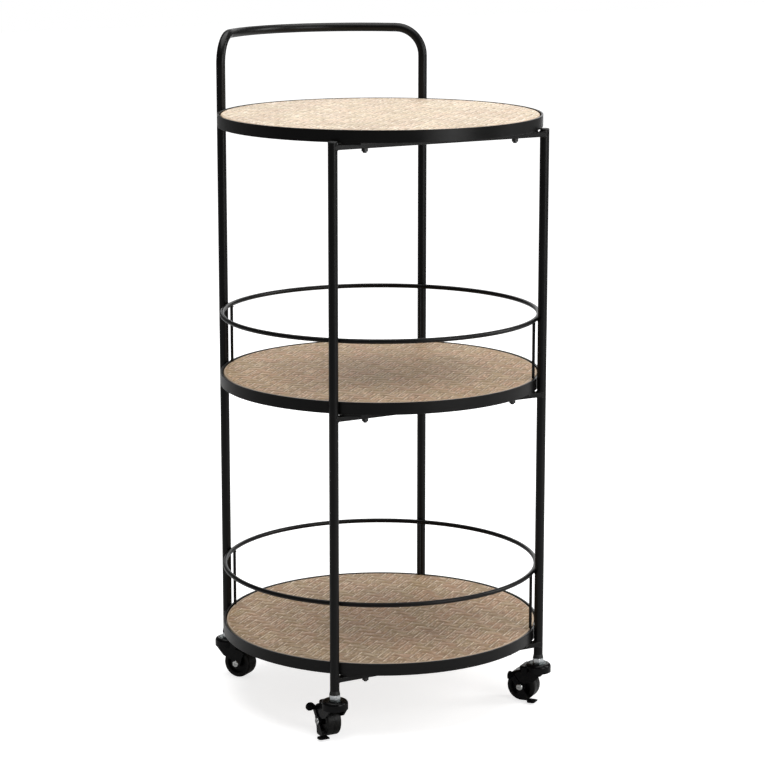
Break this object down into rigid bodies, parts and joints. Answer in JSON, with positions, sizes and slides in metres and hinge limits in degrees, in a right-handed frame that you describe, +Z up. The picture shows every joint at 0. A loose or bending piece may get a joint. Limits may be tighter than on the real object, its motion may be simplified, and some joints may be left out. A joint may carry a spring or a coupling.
{
  "type": "bar cart",
  "caption": "Round tiered bar cart: wooden boards in steel bands on tube legs, rod galleries round the lower tiers, a raised push handle, and swivel casters with brakes on the front pair.",
  "frame": {"origin": "on the floor, on the common vertical axis of the three round tiers", "axes": "+Z up; the handle is on the +Y side and the front, with the braked casters, faces -Y; +X to the right of someone facing the front"},
  "size_m": [0.4199, 0.4478, 0.8745],
  "materials": {
    "black_steel": "satin black powder coat on steel",
    "board": "light brown board faced with a twill mat of flat cane strips, matt",
    "black_fixings": "black plated steel, satin",
    "zinc": "bright zinc plating",
    "rivet_steel": "nickelled steel",
    "black_plastic": "moulded, fine grain",
    "caster_plastic": "moulded, half gloss",
    "hub_plastic": "moulded",
    "tyre": "soft dark grey rubber"
  },
  "bodies": {
    "frame": {"handle_frame": "black_steel", "front_left_leg": "black_steel", "front_right_leg": "black_steel", "front_leg_plugs": "black_plastic", "front_crossbar_top": "black_steel", "back_crossbar_top": "black_steel", "top_rim": "black_steel", "top_rim_tabs": "black_steel", "top_panel": "board", "front_crossbar_middle": "black_steel", "back_crossbar_middle": "black_steel", "middle_rim": "black_steel", "middle_rim_tabs": "black_steel", "middle_panel": "board", "middle_gallery_ring": "black_steel", "middle_gallery_posts": "black_steel", "front_crossbar_bottom": "black_steel", "back_crossbar_bottom": "black_steel", "bottom_rim": "black_steel", "bottom_rim_tabs": "black_steel", "bottom_panel": "board", "bottom_gallery_ring": "black_steel", "bottom_gallery_posts": "black_steel", "tray_bolts": "black_fixings", "tray_nuts": "black_fixings", "panel_screws": "zinc", "stem_sockets": "black_plastic", "stem_nuts": "zinc", "caster_front_left_stem": "zinc", "caster_front_right_stem": "zinc", "caster_back_left_stem": "zinc", "caster_back_right_stem": "zinc"},
    "front_left_caster": {"caster_front_left_fork": "caster_plastic", "caster_front_left_axle": "rivet_steel"},
    "front_left_wheel": {"caster_front_left_hub": "hub_plastic", "caster_front_left_tyre": "tyre"},
    "front_left_brake": {"caster_front_left_brake_lever": "caster_plastic"},
    "front_right_caster": {"caster_front_right_fork": "caster_plastic", "caster_front_right_axle": "rivet_steel"},
    "front_right_wheel": {"caster_front_right_hub": "hub_plastic", "caster_front_right_tyre": "tyre"},
    "front_right_brake": {"caster_front_right_brake_lever": "caster_plastic"},
    "back_left_caster": {"caster_back_left_fork": "caster_plastic", "caster_back_left_axle": "rivet_steel"},
    "back_left_wheel": {"caster_back_left_hub": "hub_plastic", "caster_back_left_tyre": "tyre"},
    "back_right_caster": {"caster_back_right_fork": "caster_plastic", "caster_back_right_axle": "rivet_steel"},
    "back_right_wheel": {"caster_back_right_hub": "hub_plastic", "caster_back_right_tyre": "tyre"}
  },
  "joints": [
    {"name": "front_left_swivel", "type": "hinge", "parent": "frame", "child": "front_left_caster", "pos_m": [-0.153, -0.153, 0.045], "axis": [0, 0, 1], "continuous": true},
    {"name": "front_left_wheel_spin", "type": "hinge", "parent": "front_left_caster", "child": "front_left_wheel", "pos_m": [-0.15195, -0.13303, 0.0198], "axis": [-0.9986, 0.0523, 0], "continuous": true},
    {"name": "front_left_brake_release", "type": "hinge", "parent": "front_left_caster", "child": "front_left_brake", "pos_m": [-0.15195, -0.13303, 0.0198], "axis": [-0.9986, 0.0523, 0], "range_deg": [0, 20]},
    {"name": "front_right_swivel", "type": "hinge", "parent": "frame", "child": "front_right_caster", "pos_m": [0.153, -0.153, 0.045], "axis": [0, 0, 1], "continuous": true},
    {"name": "front_right_wheel_spin", "type": "hinge", "parent": "front_right_caster", "child": "front_right_wheel", "pos_m": [0.14153, -0.13662, 0.0198], "axis": [-0.8192, -0.5736, 0], "continuous": true},
    {"name": "front_right_brake_release", "type": "hinge", "parent": "front_right_caster", "child": "front_right_brake", "pos_m": [0.14153, -0.13662, 0.0198], "axis": [-0.8192, -0.5736, 0], "range_deg": [0, 20]},
    {"name": "back_left_swivel", "type": "hinge", "parent": "frame", "child": "back_left_caster", "pos_m": [-0.153, 0.153, 0.045], "axis": [0, 0, 1], "continuous": true},
    {"name": "back_left_wheel_spin", "type": "hinge", "parent": "back_left_caster", "child": "back_left_wheel", "pos_m": [-0.14211, 0.13623, 0.0198], "axis": [0.8387, 0.5446, 0], "continuous": true},
    {"name": "back_right_swivel", "type": "hinge", "parent": "frame", "child": "back_right_caster", "pos_m": [0.153, 0.153, 0.045], "axis": [0, 0, 1], "continuous": true},
    {"name": "back_right_wheel_spin", "type": "hinge", "parent": "back_right_caster", "child": "back_right_wheel", "pos_m": [0.163, 0.17032, 0.0198], "axis": [-0.866, 0.5, 0], "continuous": true}
  ]
}
